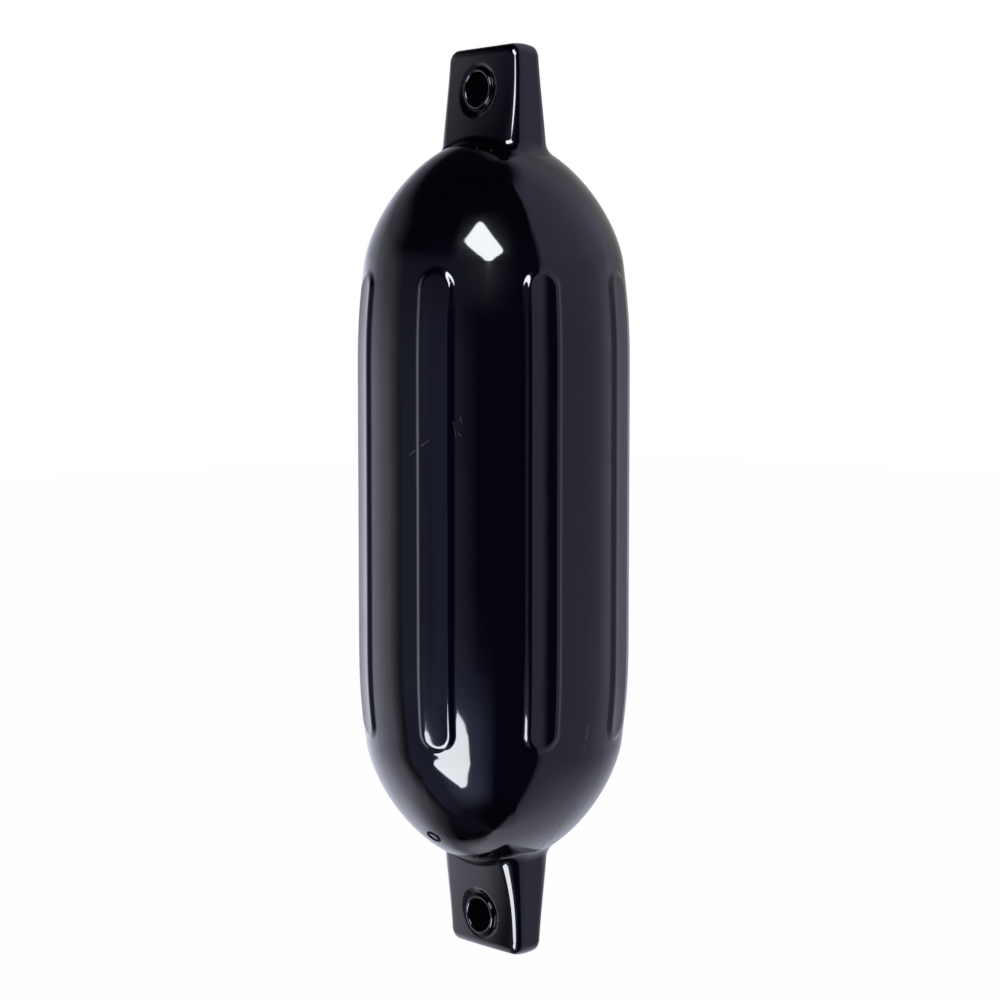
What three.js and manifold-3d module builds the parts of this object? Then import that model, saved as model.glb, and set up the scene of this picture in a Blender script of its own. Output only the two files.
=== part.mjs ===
// Ribbed inflatable boat fender with a rope eye at each end.
// Millimetres, +Z up along the fender's axis, origin at the middle of the overall length.
// The rope holes run along Y. The real fender is one hollow vinyl moulding with a rubber valve pushed into it.

import * as THREE from 'three';
import { LoftGeometry } from 'three/addons/geometries/LoftGeometry.js';
import { mergeVertices } from 'three/addons/utils/BufferGeometryUtils.js';
import Module from 'manifold-3d';

// Overall
const EYE_END_HEIGHT = 279.5;      // middle of the fender to the end face of each eye
const CLEARANCE = 0.3;             // gap kept between the valve and its seat

// Barrel and domes: the outside is two curves, a long soft shoulder and a dome
const BARREL_RADIUS = 84.2;
const SHOULDER_START = 71.2;       // the barrel is straight up to here
const SHOULDER_END = 147.4;        // where shoulder and dome meet
const SHOULDER_END_RADIUS = 80.1;
const SHOULDER_END_SLOPE = 0.12;   // radians, inward lean where they meet
const SHOULDER_START_PULL = 34.2;
const SHOULDER_END_PULL = 33.1;
const DOME_START_PULL = 28.7;
const DOME_TIP_HEIGHT = 226.1;     // the dome's tip, hidden inside the eye
const DOME_TIP_PULL = 44.3;
const WALL = 3.2;                  // moulded wall thickness

// Ribs
const RIB_COUNT = 8;
const RIB_FIRST_ANGLE = Math.PI / 8;   // ribs sit either side of the parting plane
const RIB_HALF_LENGTH = 144.5;
const RIB_HALF_WIDTH = 12.2;
const RIB_HEIGHT = 2.2;            // at the middle of the rib, whose top is flat
const RIB_FLANK = 2.7;             // how far the rounded flank runs in from the foot
const RIB_FLANK_LOW = 0.2;         // shares of the flank where its lower and upper rings sit
const RIB_FLANK_HIGH = 0.7;
const RIB_SHOULDER_SHARE = 0.85;   // share of the height reached at the upper ring
const RIB_FOOT_DEPTH = 0.9;        // how far the rib reaches into the wall
const RIB_FOOT_SPREAD = 0.5;
const RIB_SPINE_HALF_WIDTH = 0.3;

// Eyes: a tapered block that grows out of each dome
const EYE_END_HALF_WIDTH = 30.3;
const EYE_WIDTH_GROWTH = 1.0;      // half-width gained at the root
const EYE_END_HALF_DEPTH = 11.9;
const EYE_DEPTH_GROWTH = 7.4;      // half-depth gained at the root
const EYE_DEPTH_POWER = 1.4;       // the faces curve outward toward the root
const EYE_LENGTH = 60;
const EYE_EDGE_RADIUS = 6.5;       // long edges
const EYE_CORNER_RADIUS = 8;       // corners of the broad face
const EYE_END_EDGE_RADIUS = 5;     // edges between broad face and end face
const EYE_ROOT_FILLET = 3;         // how far the root fillet runs up the eye and out on the dome
const EYE_ROOT_HEIGHT = 222;
const EYE_BURIED_DEPTH = 0.5;      // the fillet's foot dips just under the dome
const EYE_DEEP_HEIGHT = 190;       // the block's foot, inside the hollow, cut away later

// Rope hole in each eye
const UPPER_HOLE_HEIGHT = 254;
const LOWER_HOLE_HEIGHT = 258;
const HOLE_RADIUS = 10;
const LIP_RADIUS = 1.7;            // rounded raised lip round the hole
const LIP_CREST = 14.9;            // distance of the lip's crest from the eye's middle plane
const LIP_FOOT_RADIUS = 14.4;
const DISH_FLOOR = 12.9;           // half the eye's depth on the pressed ring round the lip
const DISH_FLOOR_RADIUS = 15.5;
const DISH_RADIUS = 20;
const DISH_TOP = 20;

// Valve, measured along the dome's normal with zero at the skin, outward positive
const VALVE_ANGLE = -Math.PI / 2;  // in line with the rope holes
const VALVE_DOME_RADIUS = 51;
const FLANGE_RADIUS = 5.2;
const FLANGE_PROUD = 0.5;
const FLANGE_DEPTH = 1.2;
const FLANGE_ROUND = 0.6;
const NECK_RADIUS = 3.7;
const NECK_LENGTH = 5;
const BULB_RADIUS = 5.2;
const BULB_LENGTH = 3.4;
const TAIL_RADIUS = 2.6;
const TAIL_LENGTH = 4;
const FUNNEL_RADIUS = 3.3;
const FUNNEL_DEPTH = 4.2;
const NEEDLE_HOLE_RADIUS = 0.9;
const NEEDLE_HOLE_DEPTH = 11.5;
const SEAT_PAD_RADIUS = 10;        // thicker wall round the seat, inside

// How finely curves are divided
const ROUND_SEGMENTS = 48;
const HOLLOW_SEGMENTS = 32;
const SHOULDER_STEPS = 4;
const DOME_STEPS = 10;
const HOLLOW_DOME_STEPS = 6;
const RIB_END_STEPS = 8;
const CORNER_STEPS = 4;
const FACE_POINTS = 4;
const SIDE_POINTS = 1;
const FILLET_STEPS = 4;
const EYE_WALL_STEPS = 4;
const EYE_END_STEPS = 5;
const HOLE_SEGMENTS = 32;
const LIP_STEPS = 4;
const VALVE_SEGMENTS = 24;

const wasm = await Module();
wasm.setup();

const half = (value) => value / 2;
const mix = (from, to, share) => from + (to - from) * share;
const steps = (count) => Array.from({ length: count + 1 }, (_, i) => i / count);

// Solids

function toSolid(geometry) {
  const bare = new THREE.BufferGeometry();
  bare.setAttribute('position', geometry.getAttribute('position'));
  bare.setIndex(geometry.getIndex());
  const welded = mergeVertices(bare, 1e-4);
  const vertProperties = new Float32Array(welded.getAttribute('position').array);
  const triVerts = new Uint32Array(welded.getIndex().array);
  return new wasm.Manifold(new wasm.Mesh({ numProp: 3, vertProperties, triVerts }));
}

function toGeometry(solid) {
  const mesh = solid.getMesh();
  const geometry = new THREE.BufferGeometry();
  geometry.setAttribute('position', new THREE.BufferAttribute(new Float32Array(mesh.vertProperties), 3));
  geometry.setIndex(new THREE.BufferAttribute(new Uint32Array(mesh.triVerts), 1));
  geometry.computeVertexNormals();
  return geometry;
}

// A solid turned about Z from a profile of radius and height, bottom first.
function turned(profile, segments) {
  const geometry = new THREE.LatheGeometry(profile, segments);
  geometry.rotateX(Math.PI / 2);
  return geometry;
}

// Skin profile: radius and height from the barrel's straight end to the dome's tip

const lean = new THREE.Vector2(-Math.sin(SHOULDER_END_SLOPE), Math.cos(SHOULDER_END_SLOPE));
const seamPoint = new THREE.Vector2(SHOULDER_END_RADIUS, SHOULDER_END);

const shoulderCurve = new THREE.CubicBezierCurve(
  new THREE.Vector2(BARREL_RADIUS, SHOULDER_START),
  new THREE.Vector2(BARREL_RADIUS, SHOULDER_START + SHOULDER_START_PULL),
  seamPoint.clone().addScaledVector(lean, -SHOULDER_END_PULL),
  seamPoint,
);

const domeCurve = new THREE.CubicBezierCurve(
  seamPoint,
  seamPoint.clone().addScaledVector(lean, DOME_START_PULL),
  new THREE.Vector2(DOME_TIP_PULL, DOME_TIP_HEIGHT),
  new THREE.Vector2(0, DOME_TIP_HEIGHT),
);

function offsetPoint(curve, share, inset) {
  const point = curve.getPoint(share);
  const along = curve.getTangent(share);
  return new THREE.Vector2(point.x - along.y * inset, point.y + along.x * inset);
}

// Upper half of the skin, or of the hollow when inset is the wall.
function upperProfile(domeSteps, inset) {
  const shoulder = steps(SHOULDER_STEPS).map((share) => offsetPoint(shoulderCurve, share, inset));
  const dome = steps(domeSteps).slice(1).map((share) => offsetPoint(domeCurve, share, inset));
  dome[dome.length - 1].x = 0;
  return [...shoulder, ...dome];
}

function fullProfile(domeSteps, inset) {
  const upper = upperProfile(domeSteps, inset);
  const lower = upper.map((point) => new THREE.Vector2(point.x, -point.y)).reverse();
  return [...lower, ...upper];
}

const skinProfile = upperProfile(DOME_STEPS, 0);

// Skin radius at a height, read from the same points that the barrel is turned from.
function skinRadius(height) {
  const level = Math.abs(height);
  if (level <= SHOULDER_START) return BARREL_RADIUS;
  const next = skinProfile.findIndex((point) => point.y >= level);
  const low = skinProfile[next - 1];
  const high = skinProfile[next];
  return mix(low.x, high.x, (level - low.y) / (high.y - low.y));
}

// Height of the upper dome at a radius.
function domeHeight(radius) {
  const next = skinProfile.findIndex((point) => point.x <= radius);
  const outer = skinProfile[next - 1];
  const inner = skinProfile[next];
  return mix(outer.y, inner.y, (outer.x - radius) / (outer.x - inner.x));
}

// Ribs

// One closed ring round a rib, drawn a given distance in from the foot and lifted by a height.
function ribRing(centreAngle, inset, lift) {
  const radius = RIB_HALF_WIDTH - inset;
  const arcCentre = RIB_HALF_LENGTH - RIB_HALF_WIDTH;
  const stations = skinProfile.map((point) => point.y).filter((height) => height < arcCentre);
  const rising = [...stations.map((height) => -height).reverse(), ...stations];
  const flat = [
    ...rising.map((along) => [radius, along]),
    ...ribEnd(radius, arcCentre, 0),
    ...rising.map((along) => [-radius, -along]),
    ...ribEnd(radius, -arcCentre, Math.PI),
  ];
  return flat.map(([across, along]) => onBarrel(centreAngle, across, along, lift));
}

function ribEnd(radius, centre, startAngle) {
  return steps(RIB_END_STEPS).map((share) => {
    const angle = startAngle + share * Math.PI;
    return [radius * Math.cos(angle), centre + radius * Math.sin(angle)];
  });
}

// Barely raised points follow the round skin, and points at the full height lie on a flat top.
function onBarrel(centreAngle, across, along, lift) {
  const off = across / BARREL_RADIUS;
  const angle = centreAngle + off;
  const flatness = Math.max(lift, 0) / RIB_HEIGHT;
  const radius = (skinRadius(along) + lift) / Math.cos(off) ** flatness;
  return new THREE.Vector3(radius * Math.cos(angle), radius * Math.sin(angle), along);
}

// Rings from the buried foot, up the rounded flank, to the spine along the rib's top.
function rib(centreAngle) {
  const top = RIB_HEIGHT;
  const rings = [
    ribRing(centreAngle, -RIB_FOOT_SPREAD, -RIB_FOOT_DEPTH),
    ribRing(centreAngle, RIB_FLANK * RIB_FLANK_LOW, top * RIB_FLANK_LOW),
    ribRing(centreAngle, RIB_FLANK * RIB_FLANK_HIGH, top * RIB_SHOULDER_SHARE),
    ribRing(centreAngle, RIB_FLANK, top),
    ribRing(centreAngle, RIB_HALF_WIDTH - RIB_SPINE_HALF_WIDTH, top),
  ];
  return toSolid(new LoftGeometry(rings, { closed: true, capStart: true, capEnd: true }));
}

function allRibs() {
  const pitch = (2 * Math.PI) / RIB_COUNT;
  return steps(RIB_COUNT).slice(1).map((share) => rib(RIB_FIRST_ANGLE + share * RIB_COUNT * pitch));
}

// Eyes

function rootShare(height) {
  return Math.max(EYE_END_HEIGHT - height, 0) / EYE_LENGTH;
}

const eyeHalfWidth = (height) => EYE_END_HALF_WIDTH + EYE_WIDTH_GROWTH * rootShare(height);
const eyeHalfDepth = (height) => EYE_END_HALF_DEPTH + EYE_DEPTH_GROWTH * rootShare(height) ** EYE_DEPTH_POWER;

// Rounded rectangle, counterclockwise from above. Each point keeps its outward direction.
function eyeOutline(halfWidth, halfDepth, cornerRadius) {
  const outline = [];
  const quarter = Math.PI / 2;
  const centres = [[1, 1], [-1, 1], [-1, -1], [1, -1]];
  centres.forEach(([sideX, sideY], corner) => {
    const centre = new THREE.Vector2(sideX * (halfWidth - cornerRadius), sideY * (halfDepth - cornerRadius));
    steps(CORNER_STEPS).forEach((share) => {
      const angle = (corner + share) * quarter;
      const outward = new THREE.Vector2(Math.cos(angle), Math.sin(angle));
      outline.push({ place: centre.clone().addScaledVector(outward, cornerRadius), outward });
    });
    const last = outline[outline.length - 1];
    const turn = (corner + 1) * quarter;
    const ahead = new THREE.Vector2(Math.cos(turn + quarter), Math.sin(turn + quarter));
    const isFace = corner % 2 === 0;
    const run = 2 * ((isFace ? halfWidth : halfDepth) - cornerRadius);
    const count = isFace ? FACE_POINTS : SIDE_POINTS;
    for (let i = 1; i <= count; i += 1) {
      const place = last.place.clone().addScaledVector(ahead, (run * i) / (count + 1));
      outline.push({ place, outward: last.outward });
    }
  });
  return outline;
}

const wallOutline = (height) => eyeOutline(eyeHalfWidth(height), eyeHalfDepth(height), EYE_EDGE_RADIUS);
const rootOutline = wallOutline(EYE_ROOT_HEIGHT);
const lift3 = (place, height) => new THREE.Vector3(place.x, place.y, height);

// Where the root fillet leaves the dome, just outside the eye.
function filletFoot(column) {
  const { place, outward } = rootOutline[column];
  return place.clone().addScaledVector(outward, EYE_ROOT_FILLET);
}

const filletTop = (column) => domeHeight(rootOutline[column].place.length()) + EYE_ROOT_FILLET;

function filletPoint(column, share) {
  const foot = filletFoot(column);
  const top = filletTop(column);
  const corner = rootOutline[column].place;
  const curve = new THREE.QuadraticBezierCurve3(
    lift3(foot, domeHeight(foot.length()) - EYE_BURIED_DEPTH),
    lift3(corner, domeHeight(corner.length())),
    lift3(wallOutline(top)[column].place, top),
  );
  return curve.getPoint(share);
}

function wallPoint(column, share) {
  const height = mix(filletTop(column), EYE_END_HEIGHT - EYE_CORNER_RADIUS, share);
  return lift3(wallOutline(height)[column].place, height);
}

// Ring near the end face, drawn in by both end radii.
function endRing(share) {
  const angle = share * half(Math.PI);
  const depthBelow = EYE_CORNER_RADIUS * (1 - Math.sin(angle));
  const widthInset = EYE_CORNER_RADIUS * (1 - Math.cos(angle));
  const reach = Math.max(EYE_END_EDGE_RADIUS - depthBelow, 0);
  const depthInset = EYE_END_EDGE_RADIUS - Math.sqrt(EYE_END_EDGE_RADIUS ** 2 - reach ** 2);
  const height = EYE_END_HEIGHT - depthBelow;
  const outline = eyeOutline(
    eyeHalfWidth(height) - widthInset,
    eyeHalfDepth(height) - depthInset,
    EYE_EDGE_RADIUS - depthInset,
  );
  return outline.map(({ place }) => lift3(place, height));
}

function eyeBlock() {
  const columns = rootOutline.map((_, column) => column);
  const sections = [
    columns.map((column) => lift3(filletFoot(column), EYE_DEEP_HEIGHT)),
    ...steps(FILLET_STEPS).map((share) => columns.map((column) => filletPoint(column, share))),
    ...steps(EYE_WALL_STEPS).slice(1).map((share) => columns.map((column) => wallPoint(column, share))),
    ...steps(EYE_END_STEPS).slice(1).map((share) => endRing(share)),
  ];
  return toSolid(new LoftGeometry(sections, { closed: true, capStart: true, capEnd: true }));
}

// Turned about Y through the rope hole, from a profile of radius and distance along Y.
function turnedAboutHole(profile, holeHeight) {
  const geometry = new THREE.LatheGeometry(profile, HOLE_SEGMENTS);
  geometry.translate(0, 0, holeHeight);
  return toSolid(geometry);
}

function holeDrill(holeHeight) {
  const radius = half(HOLE_RADIUS + LIP_FOOT_RADIUS);
  const profile = [
    new THREE.Vector2(0, -DISH_TOP),
    new THREE.Vector2(radius, -DISH_TOP),
    new THREE.Vector2(radius, DISH_TOP),
    new THREE.Vector2(0, DISH_TOP),
  ];
  return turnedAboutHole(profile, holeHeight);
}

// Shallow pressed dish on one face, side being 1 or -1 along Y.
function dish(holeHeight, side) {
  const wall = new THREE.QuadraticBezierCurve(
    new THREE.Vector2(DISH_FLOOR_RADIUS, DISH_FLOOR),
    new THREE.Vector2(DISH_RADIUS, DISH_FLOOR),
    new THREE.Vector2(DISH_RADIUS, DISH_TOP),
  );
  const profile = [
    new THREE.Vector2(0, DISH_FLOOR),
    ...wall.getPoints(LIP_STEPS),
    new THREE.Vector2(0, DISH_TOP),
  ];
  const facing = profile.map((point) => new THREE.Vector2(point.x, side * point.y));
  return turnedAboutHole(side > 0 ? facing : facing.reverse(), holeHeight);
}

// The raised lip and the hole's own wall: one ring, rounded at both mouths.
function lipRing(holeHeight) {
  const crest = LIP_CREST - LIP_RADIUS;
  const middle = HOLE_RADIUS + LIP_RADIUS;
  const mouth = steps(LIP_STEPS).map((share) => {
    const angle = Math.PI * (1 - share);
    return new THREE.Vector2(middle + LIP_RADIUS * Math.cos(angle), crest + LIP_RADIUS * Math.sin(angle));
  });
  const foot = new THREE.Vector2(LIP_FOOT_RADIUS, DISH_FLOOR - half(LIP_RADIUS));
  const upper = [...mouth, foot];
  const lower = upper.map((point) => new THREE.Vector2(point.x, -point.y)).reverse();
  const profile = [...lower, ...upper].reverse();
  return turnedAboutHole([...profile, profile[0].clone()], holeHeight);
}

function upperEye(holeHeight) {
  return eyeBlock()
    .subtract(dish(holeHeight, 1))
    .subtract(dish(holeHeight, -1))
    .subtract(holeDrill(holeHeight))
    .add(lipRing(holeHeight));
}

const lowerEye = (holeHeight) => upperEye(holeHeight).rotate([180, 0, 0]);

// Valve

// Moves a geometry made about Z so that it stands on the lower dome's skin.
function placeOnDome(geometry) {
  const share = steps(DOME_STEPS * 20).find((at) => domeCurve.getPoint(at).x <= VALVE_DOME_RADIUS);
  const point = domeCurve.getPoint(share);
  const along = domeCurve.getTangent(share);
  const outward = new THREE.Vector3(
    along.y * Math.cos(VALVE_ANGLE),
    along.y * Math.sin(VALVE_ANGLE),
    along.x,
  );
  const place = new THREE.Vector3(
    point.x * Math.cos(VALVE_ANGLE),
    point.x * Math.sin(VALVE_ANGLE),
    -point.y,
  );
  const turn = new THREE.Quaternion().setFromUnitVectors(new THREE.Vector3(0, 0, 1), outward);
  return geometry.applyQuaternion(turn).translate(place.x, place.y, place.z);
}

const profileOf = (pairs) => pairs.map(([radius, height]) => new THREE.Vector2(radius, height));
const seatBottom = -(FLANGE_DEPTH + NECK_LENGTH) + CLEARANCE;

function seatPad() {
  return toSolid(placeOnDome(turned(profileOf([
    [0, seatBottom],
    [SEAT_PAD_RADIUS - 1, seatBottom],
    [SEAT_PAD_RADIUS, seatBottom + 1],
    [SEAT_PAD_RADIUS, -half(WALL)],
    [0, -half(WALL)],
  ]), VALVE_SEGMENTS)));
}

function seatCut() {
  const bore = NECK_RADIUS + CLEARANCE;
  const recess = FLANGE_RADIUS + CLEARANCE;
  const ledge = -(FLANGE_DEPTH + CLEARANCE);
  return toSolid(placeOnDome(turned(profileOf([
    [0, seatBottom - WALL],
    [bore, seatBottom - WALL],
    [bore, ledge],
    [recess, ledge],
    [recess, WALL],
    [0, WALL],
  ]), VALVE_SEGMENTS)));
}

function inflationValve() {
  const bulbTop = -(FLANGE_DEPTH + NECK_LENGTH);
  const bulbBottom = bulbTop - BULB_LENGTH;
  const profile = profileOf([
    [0, bulbBottom - TAIL_LENGTH],
    [TAIL_RADIUS, bulbBottom - TAIL_LENGTH],
    [BULB_RADIUS, bulbBottom],
    [BULB_RADIUS, bulbTop],
    [NECK_RADIUS, bulbTop],
    [NECK_RADIUS, -FLANGE_DEPTH],
    [FLANGE_RADIUS, -FLANGE_DEPTH],
    [FLANGE_RADIUS, FLANGE_PROUD - FLANGE_ROUND],
    [FLANGE_RADIUS - half(FLANGE_ROUND), FLANGE_PROUD - half(half(FLANGE_ROUND))],
    [FLANGE_RADIUS - FLANGE_ROUND * 2, FLANGE_PROUD],
    [FUNNEL_RADIUS + half(FLANGE_ROUND), FLANGE_PROUD],
    [FUNNEL_RADIUS, FLANGE_PROUD - half(FLANGE_ROUND)],
    [FUNNEL_RADIUS, -half(FLANGE_DEPTH)],
    [NEEDLE_HOLE_RADIUS, -FUNNEL_DEPTH],
    [NEEDLE_HOLE_RADIUS, -NEEDLE_HOLE_DEPTH],
    [0, -NEEDLE_HOLE_DEPTH],
  ]);
  return toSolid(placeOnDome(turned(profile, VALVE_SEGMENTS)));
}

// Body

function hollow() {
  return toSolid(turned(fullProfile(HOLLOW_DOME_STEPS, WALL), HOLLOW_SEGMENTS));
}

function fenderBody() {
  const skin = toSolid(turned(fullProfile(DOME_STEPS, 0), ROUND_SEGMENTS));
  const ribbed = allRibs().reduce((body, one) => body.add(one), skin);
  return ribbed
    .add(upperEye(UPPER_HOLE_HEIGHT))
    .add(lowerEye(LOWER_HOLE_HEIGHT))
    .subtract(hollow())
    .add(seatPad())
    .subtract(seatCut());
}

function named(name, solid, colour, roughness) {
  const material = new THREE.MeshStandardMaterial({ color: colour, roughness, metalness: 0 });
  const mesh = new THREE.Mesh(toGeometry(solid), material);
  mesh.name = name;
  return mesh;
}

const group = new THREE.Group();
group.name = 'pneumatic_fender';
group.add(named('fender_body', fenderBody(), 0x0c0c12, 0.15));
group.add(named('inflation_valve', inflationValve(), 0x101013, 0.5));

export default group;
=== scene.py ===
# %% [markdown]
# # A ribbed, inflatable boat fender
# A fender hangs between a boat and a dock and takes the knocks. This one is a hollow moulding of soft black
# vinyl with eight ribs and a rope eye at each end, and a small rubber valve to blow it up through.
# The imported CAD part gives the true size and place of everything. This lesson builds a finer skin over it,
# with the soft edges that a mould leaves, and then lights it like a product photograph.

import math

import bpy
import numpy as np
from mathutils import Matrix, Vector


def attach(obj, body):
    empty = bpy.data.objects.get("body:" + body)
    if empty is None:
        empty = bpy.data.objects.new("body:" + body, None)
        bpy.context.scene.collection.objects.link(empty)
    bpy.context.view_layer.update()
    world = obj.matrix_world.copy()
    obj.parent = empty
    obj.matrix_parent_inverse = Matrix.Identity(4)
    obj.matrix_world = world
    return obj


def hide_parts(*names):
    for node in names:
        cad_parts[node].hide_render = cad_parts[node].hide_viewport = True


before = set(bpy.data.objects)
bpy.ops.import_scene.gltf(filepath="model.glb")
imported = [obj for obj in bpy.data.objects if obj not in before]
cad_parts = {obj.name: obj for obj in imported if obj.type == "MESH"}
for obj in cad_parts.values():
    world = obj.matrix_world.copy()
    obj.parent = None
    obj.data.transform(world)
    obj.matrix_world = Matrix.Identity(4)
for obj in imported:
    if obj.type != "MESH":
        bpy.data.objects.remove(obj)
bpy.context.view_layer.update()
print("CAD nodes:", sorted(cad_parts))

# %% [markdown]
# ## The moulding's sizes
# All sizes are in millimetres. The barrel has the sizes that the CAD part is made from: its outside is two
# Bezier curves, a long shoulder that leans in slowly, and a dome. The ribs and the eyes were fitted to the
# photograph a second time, so they are a little softer than the CAD's. A few named sizes are easier to
# change than a mesh that was pushed about by hand.

# %% Sizes
EYE_END = 279.5
BARREL_R = 84.2
SHOULDER_END = (80.1, 147.4)
DOME_TOP = 226.1
SHOULDER = [(BARREL_R, 71.2), (BARREL_R, 105.4), (84.06, 114.54), SHOULDER_END]
DOME = [SHOULDER_END, (76.66, 175.9), (44.3, DOME_TOP), (0.0, DOME_TOP)]
SHOULDER_STEPS, DOME_STEPS = 400, 900
HOLE_R = 10.0
# Each eye: shift along the rope hole, hole height, end half-width and its growth, end half-depth, its growth
# and how late it comes. The lower eye sits a little off the middle, as soft mouldings do.
EYE_UP = (0.0, 254.0, 30.6, 4.2, 12.6, 6.6, 2.0)
EYE_LOW = (-1.3, 258.0, 31.7, 2.5, 12.3, 7.6, 1.9)


def bezier(points, count):
    t = np.linspace(0, 1, count)[:, None]
    a, b, c, d = (np.array(p) for p in points)
    return (1 - t) ** 3 * a + 3 * (1 - t) ** 2 * t * b + 3 * (1 - t) * t**2 * c + t**3 * d


profile = np.vstack([[[BARREL_R, 0.0]], bezier(SHOULDER, SHOULDER_STEPS), bezier(DOME, DOME_STEPS)[1:]])
prof_r, prof_z = profile[:, 0], profile[:, 1]
print("profile points:", len(profile), "dome height in mm:", prof_z[-1])

# %% [markdown]
# ## Barrel, domes and ribs as one grid
# A mould for a fender is cut as a smooth turned shape, and the ribs are grooves milled into it with a
# round-nosed cutter. So the skin is a turned grid, and each rib lifts the grid by a height that depends
# only on how far a point lies inside the rib's outline. An S-shaped flank gives the cutter's soft edge.
# A boolean of separate rib solids would leave hard creases that the gloss would show at once.

# %% How far a rib lifts the skin
RIB_COUNT = 8
RIB_PITCH = 2 * math.pi / RIB_COUNT
RIB_HALF_LENGTH = 145.2
RIB_HALF_WIDTH = 13.6
RIB_HEIGHT = 0.9
RIB_FLANK = 6.6
RIB_SINK = 0.25


def smooth(x):
    x = np.clip(x, 0, 1)
    return x * x * (3 - 2 * x)


def rib_lift(angle, z):
    """The lift in mm. The ribs lie half a pitch to either side of the mould's parting plane."""
    off = angle % RIB_PITCH - RIB_PITCH / 2
    across = off * BARREL_R
    past = np.maximum(np.abs(z) - (RIB_HALF_LENGTH - RIB_HALF_WIDTH), 0)
    inside = RIB_HALF_WIDTH - np.hypot(across, past)
    flat_top = (BARREL_R + RIB_HEIGHT) / np.cos(off) - BARREL_R
    sunk_top = flat_top + RIB_SINK * (across / (RIB_HALF_WIDTH - RIB_FLANK)) ** 2
    return sunk_top * smooth(smooth(inside / RIB_FLANK))


print("rib height in mm:", round(float(rib_lift(RIB_PITCH / 2, 0.0)), 3))

# %% Grid columns and rows, close together where the skin bends
RIB_COLUMNS, GAP_COLUMNS = 31, 9
RIB_MARGIN = 0.3
FLAT_TO, LEAN_TO, ENDS_TO = 71, 130, 147
FLAT_ROWS, LEAN_ROWS, END_ROWS, DOME_ROWS = 6, 11, 20, 34
GRID_TOP_R = 39.5


def grid_angles():
    edge = (RIB_HALF_WIDTH + RIB_MARGIN) / BARREL_R
    on_rib = np.linspace(-edge, edge, RIB_COLUMNS)
    between = np.linspace(edge, RIB_PITCH - edge, GAP_COLUMNS)[1:-1]
    one = np.concatenate([on_rib, between])
    return np.concatenate([one + RIB_PITCH * (k + 0.5) for k in range(RIB_COUNT)])


def grid_rows():
    """Places along the profile, as radius and height, from the barrel's middle to just under the eye."""
    flat = np.linspace(0, FLAT_TO, FLAT_ROWS)
    lean = np.linspace(FLAT_TO, LEAN_TO, LEAN_ROWS)[1:]
    ends = np.linspace(LEAN_TO, ENDS_TO, END_ROWS)[1:]
    z = np.concatenate([flat, lean, ends])
    r = np.interp(z, prof_z, prof_r)
    dome = bezier(DOME, DOME_STEPS)
    dome = dome[(dome[:, 1] > ENDS_TO) & (dome[:, 0] > GRID_TOP_R)]
    pick = dome[np.linspace(0, len(dome) - 1, DOME_ROWS).astype(int)]
    return np.vstack([np.c_[r, z], pick])


angles = grid_angles()
rows = grid_rows()
print("grid columns:", len(angles), "rows in the upper half:", len(rows))

# %% Points of the barrel grid
TUCK_DEPTH, TUCK_FROM_R, TUCK_RUN = 0.06, 44.0, 1.5
TUCK_WAY = (0.6, 0.8)


def skin_points(angles, rows):
    """Points in mm, upper half then mirrored, tucked in a hair where the eye's own mesh lies over them."""
    tuck = TUCK_DEPTH * smooth((TUCK_FROM_R - rows[:, 0]) / TUCK_RUN)
    upper = rows - tuck[:, None] * TUCK_WAY
    lower = (upper * [1, -1])[::-1][:-1]
    line = np.vstack([lower, upper])
    a, r, z = angles[None, :], line[:, 0][:, None], line[:, 1][:, None]
    r = r + rib_lift(a, z)
    z = np.broadcast_to(z, r.shape)
    return np.stack([r * np.cos(a), r * np.sin(a), z], axis=-1)


skin = skin_points(angles, rows)
print("barrel grid:", skin.shape[0], "rows by", skin.shape[1], "columns")

# %% Faces and normals of the barrel grid


def grid_faces(n_rows, n_cols):
    i, j = np.meshgrid(np.arange(n_rows - 1), np.arange(n_cols), indexing="ij")
    k = (j + 1) % n_cols
    here, above = i * n_cols, (i + 1) * n_cols
    quads = np.stack([here + j, here + k, above + k, above + j], axis=-1)
    return quads.reshape(-1, 4)


def grid_normals(points):
    """Normals from small steps along the rows and round the columns."""
    down = np.gradient(points, axis=0)
    wide = np.roll(points, -1, axis=1) - np.roll(points, 1, axis=1)
    normal = np.cross(wide, down)
    return normal / np.linalg.norm(normal, axis=-1, keepdims=True)


barrel_verts = skin.reshape(-1, 3)
barrel_faces = grid_faces(*skin.shape[:2])
barrel_normals = grid_normals(skin).reshape(-1, 3)
print("barrel faces:", len(barrel_faces))

# %% [markdown]
# ## The eyes as a distance field
# Each eye is soft everywhere: it swells toward its root, melts into the dome, has a shallow pressed dish
# and a rolled lip round the rope hole. A subdivided box could do it, but every fillet would need its own
# loops of edges. A distance field, a function that says how far any point is from the surface, is easier:
# each rounded join is one line of arithmetic.

# %% Rounded joins of two fields


def round_and(a, b, r):
    """What two shapes share, with the edge between them rounded."""
    return np.minimum(np.maximum(a, b), -r) + np.hypot(np.maximum(a + r, 0), np.maximum(b + r, 0))


def round_or(a, b, r):
    """Two shapes joined, with a fillet of radius r in the corner."""
    return np.maximum(np.minimum(a, b), r) - np.hypot(np.maximum(r - a, 0), np.maximum(r - b, 0))


print("two walls that meet, rounded by 2 mm:", round(float(round_and(0.0, 0.0, 2.0)), 3), "mm at the corner")

# %% The dome's field
SLOPE_REACH = 0.5


def dome_height(r):
    return np.interp(r, prof_r[::-1], prof_z[::-1])


def dome_field(x, y, z):
    r = np.hypot(x, y)
    slope = (dome_height(r + SLOPE_REACH) - dome_height(np.abs(r - SLOPE_REACH))) / (2 * SLOPE_REACH)
    return (z - dome_height(r)) / np.sqrt(1 + slope**2)


print("10 mm above the dome's top the field says", round(float(dome_field(0.0, 0.0, DOME_TOP + 10)), 2))

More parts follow.
